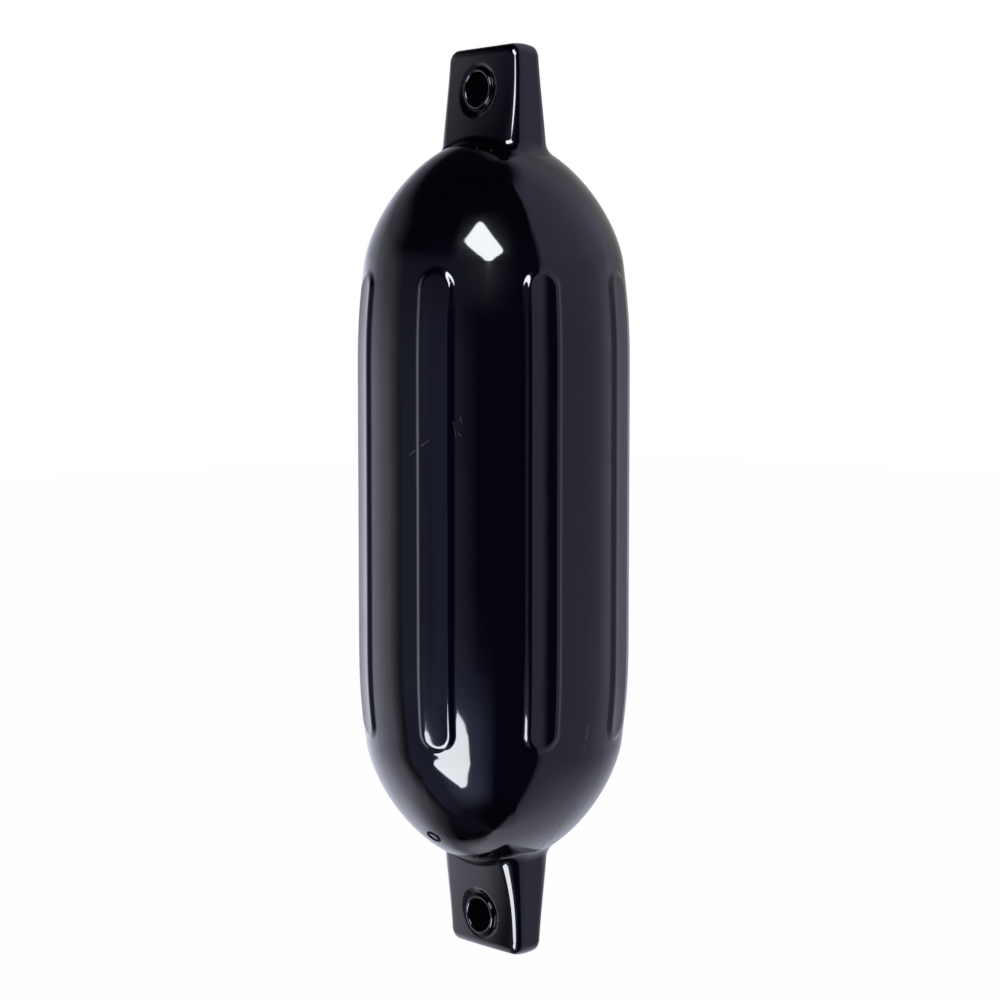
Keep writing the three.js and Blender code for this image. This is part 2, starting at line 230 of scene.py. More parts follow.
# %% The tapered block's field
EYE_LENGTH = 60.0
CROWN, CROWN_AT_EDGE = 1.5, 0.4
END_BULGE, END_FALL = 0.9, 2.0
CORNER_R = 7.5
LONG_EDGE_R, LONG_EDGE_GROWTH, END_EDGE_R = 5.4, 6.5, 4.4
EDGE_BLEND_FROM, EDGE_BLEND_RUN = 6, 8


def block_field(x, y, z, width, width_growth, depth, depth_growth, power):
    """The tapered block: broad faces toward -Y and +Y, soft long edges and a slightly crowned end."""
    share = np.maximum(EYE_END - z, 0) / EYE_LENGTH
    half_w = width + width_growth * share
    across = np.clip(np.abs(x) / half_w, 0, 1)
    crown = CROWN * across**2 + CROWN_AT_EDGE * across**4
    half_d = depth + depth_growth * share**power - crown
    end = EYE_END + END_BULGE - END_FALL * (y / depth) ** 2
    dx, dy, dz = np.abs(x) - half_w, np.abs(y) - half_d, z - end
    outline = round_and(dx, dz, CORNER_R)
    long_edge = LONG_EDGE_R + LONG_EDGE_GROWTH * share**3
    toward_end = smooth((dz - dx + EDGE_BLEND_FROM) / EDGE_BLEND_RUN)
    return round_and(outline, dy, long_edge + (END_EDGE_R - long_edge) * toward_end)


past_end = float(block_field(0.0, 0.0, EYE_END + 10, *EYE_UP[2:]))
print("10 mm past the end plane the field says", round(past_end, 2))

# %% The whole eye's field
DISH_R, DISH_SIDE, DISH_SLOPE, DISH_EDGE_R = 13.0, 13.4, 0.22, 3.0
ROOT_FILLET, ROOT_FILLET_GROWTH = 1.3, 3.0
ROOT_FILLET_FROM, ROOT_FILLET_RUN = 20, 9
LIP_R, LIP_SIDE, LIP_FILLET = 1.3, 13.3, 1.4


def eye_field(x, y, z, eye):
    """The block with its dish, lip and hole, joined to the dome by a fillet that grows toward the sides."""
    rho = np.hypot(x, z - eye[1])
    side = np.abs(y - eye[0])
    dish = side - (DISH_SIDE + DISH_SLOPE * np.maximum(rho - DISH_R, 0) ** 2)
    body = round_and(block_field(x, y - eye[0], z, *eye[2:]), dish, DISH_EDGE_R)
    fillet = ROOT_FILLET + ROOT_FILLET_GROWTH * smooth((np.abs(x) - ROOT_FILLET_FROM) / ROOT_FILLET_RUN)
    body = round_or(dome_field(x, y, z), body, fillet)
    lip = np.hypot(rho - (HOLE_R + LIP_R), np.maximum(side - LIP_SIDE, 0)) - LIP_R
    body = round_or(body, lip, LIP_FILLET)
    return np.maximum(body, HOLE_R - rho)


in_hole = float(eye_field(0.0, 0.0, EYE_UP[1], EYE_UP))
print("in the middle of the rope hole the field says", round(in_hole, 2))

# %% [markdown]
# ## Meshing the field
# Surface nets turn a field into a mesh: every grid cell that the surface crosses gets one vertex, and
# every grid edge it crosses gets one face. Each vertex then slides along the field's slope until it
# sits on the surface, and the slope itself gives a perfect normal for the reflections. Metaballs or a
# voxel remesh would do the first half of this, but gloss shows their ripples.

# %% Vertices of a net


def net_cells(field):
    """Which cells the surface crosses, and the mean crossing place inside each."""
    n = np.array(field.shape) - 1
    total = np.zeros((*n, 3))
    count = np.zeros(n)
    corners = [(i, j, k) for i in (0, 1) for j in (0, 1) for k in (0, 1)]
    for a in corners:
        for axis in range(3):
            if a[axis]:
                continue
            b = tuple(v + (1 if d == axis else 0) for d, v in enumerate(a))
            fa = field[a[0] : a[0] + n[0], a[1] : a[1] + n[1], a[2] : a[2] + n[2]]
            fb = field[b[0] : b[0] + n[0], b[1] : b[1] + n[1], b[2] : b[2] + n[2]]
            cross = (fa < 0) != (fb < 0)
            t = np.where(cross, fa / np.where(cross, fa - fb, 1), 0)
            for d in range(3):
                total[..., d] += cross * (a[d] + (t if d == axis else 0))
            count += cross
    return count, total / np.maximum(count, 1)[..., None]


TEST_BALL_R = 2.5
ball = np.linalg.norm(np.mgrid[-3:4, -3:4, -3:4], axis=0) - TEST_BALL_R
print("a test ball crosses", int((net_cells(ball)[0] > 0).sum()), "cells")

# %% Faces of a net


def net_faces(field, index):
    """One quad round every grid edge that the surface crosses."""
    quads = []
    for axis in range(3):
        u, v = (axis + 1) % 3, (axis + 2) % 3
        lo = np.moveaxis(field, [axis, u, v], [0, 1, 2])
        cell = np.moveaxis(index, [axis, u, v], [0, 1, 2])
        a, b = lo[:-1, 1:-1, 1:-1], lo[1:, 1:-1, 1:-1]
        i, j, k = np.nonzero((a < 0) != (b < 0))
        quad = np.stack([cell[i, j, k], cell[i, j + 1, k], cell[i, j + 1, k + 1], cell[i, j, k + 1]], axis=-1)
        flip = a[i, j, k] > 0
        quad[flip] = quad[flip][:, ::-1]
        quads.append(quad)
    return np.vstack(quads)


ball_cells = np.zeros([n - 1 for n in ball.shape], int)
print("its net has", len(net_faces(ball, ball_cells)), "faces")

# %% Net of one eye
NET_PITCH = 0.92
NET_HALF_SIDE, NET_FROM_Z, NET_TO_Z = 46, 200, 282
KEEP_R, KEEP_FROM_Z = 43.6, 200.6


def net_mesh(eye, pitch):
    side = np.arange(-NET_HALF_SIDE, NET_HALF_SIDE + pitch, pitch)
    z = np.arange(NET_FROM_Z, NET_TO_Z + pitch, pitch)
    field = eye_field(*np.meshgrid(side, side, z, indexing="ij"), eye)
    count, crossing = net_cells(field)
    index = np.full(count.shape, -1)
    used = count > 0
    index[used] = np.arange(used.sum())
    verts = (crossing + np.argwhere(np.ones(count.shape)).reshape(*count.shape, 3))[used] * pitch
    verts = verts + [side[0], side[0], z[0]]
    faces = net_faces(field, index)
    return verts, faces[(faces >= 0).all(axis=1)]


def keep_outside(verts, faces):
    """Drop the net's rim and underside, where the barrel's own grid takes over."""
    near = np.hypot(verts[:, 0], verts[:, 1]) < KEEP_R
    outer = verts[:, 2] > KEEP_FROM_Z
    faces = faces[(near & outer)[faces].all(axis=1)]
    used = np.unique(faces)
    back = np.full(len(verts), -1)
    back[used] = np.arange(len(used))
    return verts[used], back[faces]


upper_net = keep_outside(*net_mesh(EYE_UP, NET_PITCH))
lower_net = keep_outside(*net_mesh(EYE_LOW, NET_PITCH))
print("net faces:", len(upper_net[1]), "and", len(lower_net[1]))

# %% Slide each vertex onto the surface
SLOPE_STEP = 0.02
SETTLE_ROUNDS, LONGEST_MOVE, FLATTEST_SLOPE = 6, 0.5, 0.2


def field_slope(points, eye):
    out = np.zeros_like(points)
    for d in range(3):
        shift = np.zeros(3)
        shift[d] = SLOPE_STEP
        ahead = eye_field(*(points + shift).T, eye)
        behind = eye_field(*(points - shift).T, eye)
        out[:, d] = (ahead - behind) / (2 * SLOPE_STEP)
    return out


def settle(points, eye):
    for _ in range(SETTLE_ROUNDS):
        slope = field_slope(points, eye)
        size = np.maximum((slope**2).sum(axis=1), FLATTEST_SLOPE)
        move = eye_field(*points.T, eye) / size
        points = points - np.clip(move, -LONGEST_MOVE, LONGEST_MOVE)[:, None] * slope
    return points


upper_verts = settle(upper_net[0], EYE_UP)
lower_verts = settle(lower_net[0], EYE_LOW)
print("upper eye is off its surface by at most", float(np.abs(eye_field(*upper_verts.T, EYE_UP)).max()), "mm")

# %% [markdown]
# ## Shade in the creases
# Where an eye meets the dome, and where the lip meets the dish, the photograph shows a dark line, because
# the two faces mirror each other there. A texture painted by hand would have to be lined up with the mesh.
# The mesh already knows where those creases are, so it carries the shade as a number on each vertex, which
# the vinyl reads later.

# %% Normals and crease shade of an eye
ROOT_SHADE_RUN, ROOT_SHADE_WIDTH = 1.3, 2.0
ROOT_SHADE_TO_X, ROOT_SHADE_FADE = 24, 6
FOOT_SHADE_R, FOOT_SHADE_RUN, FOOT_SHADE_WIDTH, FOOT_SHADE_AMOUNT = 13.2, 0.9, 1.6, 0.8


def crease_shade(verts, eye):
    """Shade at the eye's root, under its broad faces, and at the foot of the lip. Widths are in runs."""
    x, y, z = verts.T
    gap = np.maximum(dome_field(x, y, z), block_field(x, y - eye[0], z, *eye[2:]))
    inward = 1 - smooth((np.abs(x) - ROOT_SHADE_TO_X) / ROOT_SHADE_FADE)
    root = inward * smooth(ROOT_SHADE_WIDTH - gap / ROOT_SHADE_RUN)
    off_foot = np.abs(np.hypot(x, z - eye[1]) - FOOT_SHADE_R)
    foot = FOOT_SHADE_AMOUNT * smooth(FOOT_SHADE_WIDTH - off_foot / FOOT_SHADE_RUN)
    return np.maximum(root, foot)


def eye_part(verts, faces, eye):
    slope = field_slope(verts, eye)
    normals = slope / np.linalg.norm(slope, axis=1, keepdims=True)
    return verts, faces, normals, crease_shade(verts, eye)


upper = eye_part(upper_verts, upper_net[1], EYE_UP)
verts, faces, normals, shade = eye_part(lower_verts, lower_net[1], EYE_LOW)
half_turn_about_x = np.array([1.0, -1.0, -1.0])
lower = (verts * half_turn_about_x, faces, normals * half_turn_about_x, shade)
print("shaded vertices of the upper eye:", int((upper[3] > 0.5).sum()), "of", len(upper[3]))

# %% Join barrel and eyes into one piece


def place(name, data):
    obj = bpy.data.objects.new(name, data)
    bpy.context.scene.collection.objects.link(obj)
    return obj


def make_skin(name, parts):
    """One mesh from several (verts in mm, quads, normals, crease shade) parts, with the normals kept."""
    verts = np.vstack([p[0] for p in parts]) / 1000
    starts = np.cumsum([0] + [len(p[0]) for p in parts[:-1]])
    faces = np.vstack([p[1] + s for p, s in zip(parts, starts)])
    normals = np.vstack([p[2] for p in parts])
    mesh = bpy.data.meshes.new(name)
    mesh.from_pydata(verts.tolist(), [], faces.tolist())
    mesh.polygons.foreach_set("use_smooth", np.ones(len(faces), bool))
    mesh.normals_split_custom_set_from_vertices(normals.tolist())
    attribute = mesh.attributes.new("crease_shade", "FLOAT", "POINT")
    attribute.data.foreach_set("value", np.concatenate([p[3] for p in parts]))
    mesh.update()
    return place(name, mesh)


barrel = (barrel_verts, barrel_faces, barrel_normals, np.zeros(len(barrel_verts)))
body = make_skin("vinyl_skin", [barrel, upper, lower])
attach(body, "root")
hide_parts("fender_body")
print("skin triangles:", 2 * len(body.data.polygons))

# %% [markdown]
# ## Glossy vinyl
# Fresh vinyl is nearly black with a cold tint. Almost all that the eye reads on it is reflection, so the
# material is mostly about the surface: a sharp shine over a wider, weaker one, a faint slow waviness from
# cooling, fine dust and a few scratches, and the thin line where the two halves of the mould met. Each
# effect is a node group that puts out one mask or height, so that it can be tried and tuned by itself.

# %% Helpers for building node trees
F, V = "NodeSocketFloat", "NodeSocketVector"


def new_group(name, inputs, output):
    group = bpy.data.node_groups.new(name, "ShaderNodeTree")
    for label, kind, value in inputs:
        socket = group.interface.new_socket(label, in_out="INPUT", socket_type=kind)
        if value is not None:
            socket.default_value = value
    group.interface.new_socket(output, in_out="OUTPUT", socket_type=F)
    return group, group.nodes.new("NodeGroupInput").outputs, group.nodes.new("NodeGroupOutput").inputs[0]


def add(tree, kind, feeds=(), **settings):
    """A new node. Each feed is a plain value or another node's output, and the input that it goes to."""
    node = tree.nodes.new(kind)
    for key, value in settings.items():
        setattr(node, key, value)
    for source, target in feeds:
        if isinstance(source, (int, float, tuple)):
            node.inputs[target].default_value = source
        else:
            tree.links.new(source, node.inputs[target])
    return node


def use_group(tree, group, feeds):
    return add(tree, "ShaderNodeGroup", feeds, node_tree=group).outputs[0]


def maths(tree, operation, a, b=0.0, clamp=False):
    return add(tree, "ShaderNodeMath", [(a, 0), (b, 1)], operation=operation, use_clamp=clamp).outputs[0]


def vectors(tree, operation, *feeds):
    numbered = [(source, i) for i, source in enumerate(feeds)]
    return add(tree, "ShaderNodeVectorMath", numbered, operation=operation).outputs


print("helpers ready")

# %% Group: slow waves of a cooled moulding, as a height


def make_waves():
    g, given, out = new_group("slow_waves", [("Point", V, None), ("Size", F, 22.0)], "Height")
    feeds = [(given["Point"], "Vector"), (given["Size"], "Scale"), (1.5, "Detail"), (0.4, "Roughness")]
    noise = add(g, "ShaderNodeTexNoise", feeds)
    g.links.new(noise.outputs["Fac"], out)
    return g


waves = make_waves()
print("group:", waves.name)

# %% Group: fine pits and dust, as a mask
SPECK_REACH = 0.09


def make_specks():
    """Round dots in a few of the cells of a Voronoi pattern."""
    inputs = [("Point", V, None), ("Scale", F, 180.0), ("Amount", F, 0.02)]
    g, given, out = new_group("specks", inputs, "Mask")
    cells = add(g, "ShaderNodeTexVoronoi", [(given["Point"], "Vector"), (given["Scale"], "Scale")])
    near = maths(g, "LESS_THAN", cells.outputs["Distance"], SPECK_REACH)
    pick = add(g, "ShaderNodeSeparateColor", [(cells.outputs["Color"], "Color")])
    rare = maths(g, "LESS_THAN", pick.outputs[0], given["Amount"])
    g.links.new(maths(g, "MULTIPLY", near, rare), out)
    return g


specks = make_specks()
print("group:", specks.name)

# %% Group: one straight scratch between two points, as a mask


def make_scratch():
    """The distance to a line from Start to End, against a width that noise makes ragged."""
    inputs = [("Point", V, None), ("Start", V, None), ("End", V, None), ("Width", F, 0.0004)]
    g, given, out = new_group("scratch", inputs, "Mask")
    run = vectors(g, "SUBTRACT", given["End"], given["Start"])[0]
    rel = vectors(g, "SUBTRACT", given["Point"], given["Start"])[0]
    along = vectors(g, "DOT_PRODUCT", rel, run)["Value"]
    length = vectors(g, "DOT_PRODUCT", run, run)["Value"]
    share = maths(g, "DIVIDE", along, length, clamp=True)
    foot = add(g, "ShaderNodeVectorMath", [(run, 0), (share, "Scale")], operation="SCALE").outputs[0]
    gap = vectors(g, "DISTANCE", rel, foot)["Value"]
    ragged = add(g, "ShaderNodeTexNoise", [(given["Point"], "Vector"), (260.0, "Scale"), (3.0, "Detail")])
    reach = maths(g, "MULTIPLY", maths(g, "MULTIPLY", ragged.outputs["Fac"], given["Width"]), 2.0)
    g.links.new(maths(g, "DIVIDE", maths(g, "SUBTRACT", reach, gap), given["Width"], clamp=True), out)
    return g


scratch = make_scratch()
print("group:", scratch.name)

# %% Group: the mould's parting line, as a mask
WANDER, PARTING_FADE = 0.0006, 0.012
CLEAR_OF_EYE_R, CLEAR_OF_EYE_FADE = 0.0365, 0.003


def make_parting():
    """A thin line in the plane Y = 0. It wanders a little and shows only on the domes, beside the eyes."""
    inputs = [("Point", V, None), ("Width", F, 0.0005), ("Upper From", F, 0.204), ("Lower From", F, 0.178)]
    g, given, out = new_group("parting_line", inputs, "Mask")
    axes = add(g, "ShaderNodeSeparateXYZ", [(given["Point"], "Vector")]).outputs
    noise = add(g, "ShaderNodeTexNoise", [(given["Point"], "Vector"), (30.0, "Scale")]).outputs["Fac"]
    shift = maths(g, "MULTIPLY", maths(g, "SUBTRACT", noise, 0.5), WANDER)
    off = maths(g, "ABSOLUTE", maths(g, "ADD", axes["Y"], shift))
    line = maths(g, "SUBTRACT", 1.0, maths(g, "DIVIDE", off, given["Width"]), clamp=True)
    above = maths(g, "SUBTRACT", axes["Z"], given["Upper From"])
    below = maths(g, "SUBTRACT", maths(g, "MULTIPLY", axes["Z"], -1.0), given["Lower From"])
    shown = maths(g, "DIVIDE", maths(g, "MAXIMUM", above, below), PARTING_FADE, clamp=True)
    flat = vectors(g, "MULTIPLY", given["Point"], (1.0, 1.0, 0.0))[0]
    radius = vectors(g, "LENGTH", flat)["Value"]
    clear = maths(g, "DIVIDE", maths(g, "SUBTRACT", radius, CLEAR_OF_EYE_R), CLEAR_OF_EYE_FADE, clamp=True)
    g.links.new(maths(g, "MULTIPLY", line, maths(g, "MULTIPLY", shown, clear)), out)
    return g


parting = make_parting()
print("group:", parting.name)

# %% Group: inside the rope holes, as a mask
HOLE_MARGIN, HOLE_FADE = 0.4, 0.0003


def make_rope_hole():
    inputs = [
        ("Point", V, None),
        ("Upper", F, EYE_UP[1] / 1000),
        ("Lower", F, -EYE_LOW[1] / 1000),
        ("Radius", F, (HOLE_R + HOLE_MARGIN) / 1000),
    ]
    g, given, out = new_group("rope_hole", inputs, "Mask")
    axes = add(g, "ShaderNodeSeparateXYZ", [(given["Point"], "Vector")]).outputs
    masks = []
    for name in ("Upper", "Lower"):
        rise = maths(g, "SUBTRACT", axes["Z"], given[name])
        squares = maths(g, "ADD", maths(g, "POWER", rise, 2.0), maths(g, "POWER", axes["X"], 2.0))
        inside = maths(g, "SUBTRACT", given["Radius"], maths(g, "SQRT", squares))
        masks.append(maths(g, "DIVIDE", inside, HOLE_FADE, clamp=True))
    g.links.new(maths(g, "MAXIMUM", *masks), out)
    return g


rope_hole = make_rope_hole()
print("group:", rope_hole.name)

# %% Where the scratches lie
# Start and end of each scratch as degrees round the fender and height in mm, and its width in mm.
SCRATCHES = [
    ((-79.2, 33.5), (-76.4, 36.4), 0.26),
    ((-72.6, 39.4), (-69.6, 42.6), 0.24),
    ((-59.3, 54.0), (-58.2, 45.5), 0.12),
    ((-56.6, 58.0), (-55.6, 51.5), 0.10),
    ((-57.4, 47.5), (-55.8, 45.0), 0.10),
    ((0.6, -129.0), (-0.2, -138.5), 0.22),
    ((0.0, -143.0), (-0.6, -152.0), 0.13),
]


def on_skin(degrees, height):
    """The place on the barrel's skin, in metres."""
    turn = math.radians(degrees)
    radius = float(np.interp(abs(height), prof_z, prof_r) + rib_lift(turn, height))
    return (radius * math.cos(turn) / 1000, radius * math.sin(turn) / 1000, height / 1000)


def scratch_marks(tree, point):
    marks = 0.0
    for start, end, width in SCRATCHES:
        ends = [(on_skin(*start), "Start"), (on_skin(*end), "End")]
        one = use_group(tree, scratch, [(point, "Point"), *ends, (width / 1000, "Width")])
        marks = maths(tree, "MAXIMUM", one, marks)
    return marks


print("scratches:", len(SCRATCHES), "the first starts at", [round(v, 4) for v in on_skin(*SCRATCHES[0][0])])

# %% The vinyl material
VINYL_BLACK, SCUFF_GREY = (0.0004, 0.0003, 0.0010, 1.0), (0.12, 0.12, 0.14, 1.0)
COLD_SHINE = (0.70, 0.85, 1.0, 1.0)
SMOOTH_BASE, DIRT_ROUGHNESS = 0.18, 0.5
LINE_DULLNESS = 0.7


def vinyl_normal(tree, point, line):
    """The parting line and the slow waves, one bump over the other."""
    seam_feeds = [(line, "Height"), (0.9, "Strength"), (0.0003, "Distance")]
    seam = add(tree, "ShaderNodeBump", seam_feeds, invert=True).outputs[0]
    wave = use_group(tree, waves, [(point, "Point"), (24.0, "Size")])
    feeds = [(wave, "Height"), (0.35, "Strength"), (0.0012, "Distance"), (seam, "Normal")]
    return add(tree, "ShaderNodeBump", feeds).outputs[0]


def make_vinyl():
    mat = bpy.data.materials.new("gloss_vinyl")
    mat.use_nodes = True
    tree = mat.node_tree
    shader = tree.nodes["Principled BSDF"].inputs
    point = add(tree, "ShaderNodeTexCoord").outputs["Object"]
    line = use_group(tree, parting, [(point, "Point"), (0.0004, "Width")])
    hole = use_group(tree, rope_hole, [(point, "Point")])
    dust = use_group(tree, specks, [(point, "Point"), (160.0, "Scale"), (0.006, "Amount")])
    dirt = maths(tree, "MAXIMUM", scratch_marks(tree, point), dust)
    colour_feeds = [(dirt, 0), (VINYL_BLACK, 6), (SCUFF_GREY, 7)]
    colour = add(tree, "ShaderNodeMix", colour_feeds, data_type="RGBA")
    matt = maths(tree, "MULTIPLY", maths(tree, "MAXIMUM", dirt, hole), DIRT_ROUGHNESS)
    crease = add(tree, "ShaderNodeAttribute", attribute_name="crease_shade").outputs["Fac"]
    dull_line = maths(tree, "MULTIPLY", line, LINE_DULLNESS)
    dull = maths(tree, "MAXIMUM", maths(tree, "MAXIMUM", hole, crease), dull_line)
    normal = vinyl_normal(tree, point, line)
    tree.links.new(colour.outputs[2], shader["Base Color"])
    tree.links.new(maths(tree, "ADD", matt, SMOOTH_BASE), shader["Roughness"])
    tree.links.new(maths(tree, "SUBTRACT", 1.0, dull), shader["Coat Weight"])
    tree.links.new(normal, shader["Normal"])
    tree.links.new(normal, shader["Coat Normal"])
    shader["IOR"].default_value = 1.10
    shader["Specular Tint"].default_value = COLD_SHINE
    shader["Coat Roughness"].default_value = 0.055
    shader["Coat IOR"].default_value = 1.5
    return mat


vinyl = make_vinyl()
body.data.materials.append(vinyl)
print("vinyl ready, with", len(vinyl.node_tree.nodes), "nodes")

# %% [markdown]
# ## The valve
# The real valve is a small rubber plug that closes round an inflation needle. The CAD valve already has
# its true shape, and it is small in the picture, so it keeps its own mesh. It only gets a rubber finish,
# duller than the vinyl round it, with a fine grain.

# %% Valve finish
RUBBER_DARK, RUBBER_LIGHT = (0.002, 0.002, 0.003, 1.0), (0.007, 0.007, 0.008, 1.0)


def make_rubber():
    mat = bpy.data.materials.new("valve_rubber")
    mat.use_nodes = True
    tree = mat.node_tree
    shader = tree.nodes["Principled BSDF"].inputs
    point = add(tree, "ShaderNodeTexCoord").outputs["Object"]
    grain_feeds = [(point, "Vector"), (900.0, "Scale"), (2.0, "Detail")]
    grain = add(tree, "ShaderNodeTexNoise", grain_feeds).outputs["Fac"]
    bump = add(tree, "ShaderNodeBump", [(grain, "Height"), (0.2, "Strength"), (0.0002, "Distance")])
    tint = add(tree, "ShaderNodeMix", [(grain, 0), (RUBBER_DARK, 6), (RUBBER_LIGHT, 7)], data_type="RGBA")
    tree.links.new(tint.outputs[2], shader["Base Color"])
    tree.links.new(bump.outputs[0], shader["Normal"])
    shader["Roughness"].default_value = 0.62
    shader["Specular IOR Level"].default_value = 0.12
    return mat


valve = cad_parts["inflation_valve"]
valve.data.materials.clear()
valve.data.materials.append(make_rubber())
print("valve finished:", valve.name)

# %% [markdown]
# ## Camera
# The camera stands where the photographer stood: a little above the middle of the fender, about 1.36 m
# away, with the eyes' broad faces turned to the left. These numbers come from fitting a camera to the
# outlines and rib edges in the photograph.

# %% Camera
AZIMUTH, ELEVATION = 46.9, 4.23
DISTANCE = 1.3578
AIM_RIGHT, AIM_UP = 0.0038, 0.0020
LENS, SENSOR = 78.55, 36


def direction(azimuth, elevation):
    a, e = math.radians(azimuth), math.radians(elevation)
    return Vector((math.sin(a) * math.cos(e), -math.cos(a) * math.cos(e), math.sin(e)))


def make_camera():
    cam = place("camera", bpy.data.cameras.new("camera"))
    back = direction(AZIMUTH, ELEVATION)
    target = direction(AZIMUTH + 90, 0) * AIM_RIGHT + Vector((0, 0, AIM_UP))
    cam.location = target + back * DISTANCE
    cam.rotation_euler = (-back).to_track_quat("-Z", "Y").to_euler()
    cam.data.lens = LENS
    cam.data.sensor_width = SENSOR
    cam.data.clip_start = 0.05
    cam.data.clip_end = 30
    bpy.context.scene.camera = cam
    return cam


camera = make_camera()
print("camera at", [round(v, 3) for v in camera.location])

# %% [markdown]
# ## Light cards
# Black gloss shows the room it stands in, so the lights' outlines matter as much as their strength. The
# photograph has one square softbox above the camera and one below. Each is a glowing card here: the camera
# can't see it and it casts no soft light, but the gloss mirrors it. A card's corners are set by where its
# reflection has to fall on the skin.

# %% Light cards
CARD_COLOUR = (0.93, 0.96, 1.0, 1.0)
# Corners as degrees round from the camera and degrees up, seen from the skin that mirrors the card.
KEY_CORNERS = [(-17.6, 54.5), (-31.0, 34.6), (-4.3, 13.8), (11.0, 27.6)]
LOW_CORNERS = [(-33.0, -13.0), (-62.0, -27.0), (-35.0, -55.0), (-20.5, -23.4)]
KEY_SKIN = direction(AZIMUTH, 0) * 0.075 + Vector((0, 0, 0.168))
LOW_SKIN = direction(AZIMUTH - 15, 0) * 0.080 + Vector((0, 0, -0.145))


def soft_corners(places, share=0.22, count=5):
    """The outline through four corners, each corner rounded off with a short curve."""
    outline = []
    for i, corner in enumerate(places):
        start = corner.lerp(places[i - 1], share)
        end = corner.lerp(places[(i + 1) % 4], share)
        for k in range(count):
            t = k / (count - 1)
            outline.append(start * (1 - t) ** 2 + corner * (2 * t * (1 - t)) + end * t**2)
    return outline


def make_glow(name, strength):
    mat = bpy.data.materials.new(name)
    mat.use_nodes = True
    tree = mat.node_tree
    tree.nodes.clear()
    glow = add(tree, "ShaderNodeEmission", [(CARD_COLOUR, "Color"), (strength, "Strength")])
    add(tree, "ShaderNodeOutputMaterial", [(glow.outputs[0], "Surface")])
    return mat


def card(name, seen_from, corners, distance, strength):
    places = [seen_from + direction(AZIMUTH + turn, rise) * distance for turn, rise in corners]
    outline = soft_corners(places)
    middle = sum(places, Vector()) / 4
    mesh = bpy.data.meshes.new(name)
    count = len(outline)
    mesh.from_pydata([*outline, middle], [], [(i, (i + 1) % count, count) for i in range(count)])
    mesh.materials.append(make_glow(name, strength))
    obj = place(name, mesh)
    obj.visible_camera = False
    obj.visible_shadow = False
    obj.visible_diffuse = False
    return obj


cards = [
    card("key_box", KEY_SKIN, KEY_CORNERS, 2.6, 23.0),
    card("low_box", LOW_SKIN, LOW_CORNERS, 2.4, 19.0),
]
print("cards:", [c.name for c in cards])

# %% [markdown]
# ## The room in the gloss
# In the photograph the room is a white sweep to the left and behind, a grey side to the right, and darkness
# behind the camera. A picture of a studio could light the fender, but it would bring its own lamps. So the
# room is painted on the world as soft-edged panels, each a range of directions. Only the gloss sees them:
# the camera and the soft light get plain white.

# %% Group: one soft-edged panel of the room, as a mask over directions


def soft_step(tree, value, edge, width, rising):
    gap = maths(tree, "SUBTRACT", value, edge) if rising else maths(tree, "SUBTRACT", edge, value)
    return maths(tree, "ADD", maths(tree, "DIVIDE", gap, width), 0.5, clamp=True)


def make_panel():
    names = ["Azimuth", "Elevation", "Left", "Right", "Low", "High", "Side Soft", "Rise Soft"]
    g, given, out = new_group("room_panel", [(n, F, 0.0) for n in names], "Mask")
    left = soft_step(g, given["Azimuth"], given["Left"], given["Side Soft"], True)
    right = soft_step(g, given["Azimuth"], given["Right"], given["Side Soft"], False)
    low = soft_step(g, given["Elevation"], given["Low"], given["Rise Soft"], True)
    high = soft_step(g, given["Elevation"], given["High"], given["Rise Soft"], False)
    g.links.new(maths(g, "MULTIPLY", maths(g, "MULTIPLY", left, right), maths(g, "MULTIPLY", low, high)), out)
    return g


panel = make_panel()
print("group:", panel.name)

# %% The room's panels
WALL, DAYLIT = (0.85, 0.88, 1.20), (0.95, 0.97, 1.15)
DIM, FLOORLIT = (0.80, 0.90, 1.45), (0.92, 0.94, 1.10)
UNLIT = (0.018, 0.010, 0.024)

# Left, right, low, high, side softness, rise softness, brightness, tint. Angles are degrees from the camera.
# A panel of negative brightness is a shaded place on a wall.
LEFT_PANELS = [
    (-260, -92, -53, 11, 14, 24, 0.77, DAYLIT),
    (-168, -112, -46, 0, 40, 18, 0.62, DAYLIT),
    (-260, -104, 14, 34, 22, 12, 0.26, DAYLIT),
    (-260, -122, -2, 19, 24, 12, 0.26, DAYLIT),
    (-260, -142, -62, -14, 30, 14, -0.30, DAYLIT),
    (-260, -150, -200, -57, 24, 16, 1.15, FLOORLIT),
    (-84, -50, -62, -4, 6, 16, 0.24, DIM),
    (-90, -32, -6, 15, 14, 22, 0.22, DIM),
    (-46, -20, -62, 5, 14, 26, 0.24, DIM),
    (-52, -5, -62, -14, 16, 14, 0.50, DIM),
    (-110, -42, -200, -60, 30, 14, 0.06, DIM),
    (-70, 70, -64, 40, 30, 24, 0.020, (0.9, 0.9, 3.0)),
    (-30, 8, 20, 48, 24, 24, 0.55, DAYLIT),
]
RIGHT_PANELS = [
    (42, 400, -200, 74, 5, 9, 0.50, WALL),
    (42, 400, 12, 74, 5, 16, 0.13, WALL),
    (106, 128, -15, 8, 14, 12, 0.26, WALL),
    (134, 400, -4, 60, 22, 20, -0.25, (0.75, 0.80, 1.30)),
    (112, 400, -200, 64, 40, 9, -0.07, (0.0, 0.0, 1.0)),
    (66, 400, -200, -50, 44, 46, 0.66, FLOORLIT),
    (120, 400, -70, -22, 60, 22, 0.34, FLOORLIT),
]


def panel_sum(tree, turn, rise, panels):
    total = (0.0, 0.0, 0.0)
    for *edges, bright, tint in panels:
        numbers = [(float(value), i + 2) for i, value in enumerate(edges)]
        mask = use_group(tree, panel, [(turn, 0), (rise, 1), *numbers])
        colour = tuple(bright * part for part in tint)
        total = vectors(tree, "MULTIPLY_ADD", mask, colour, total)[0]
    return total


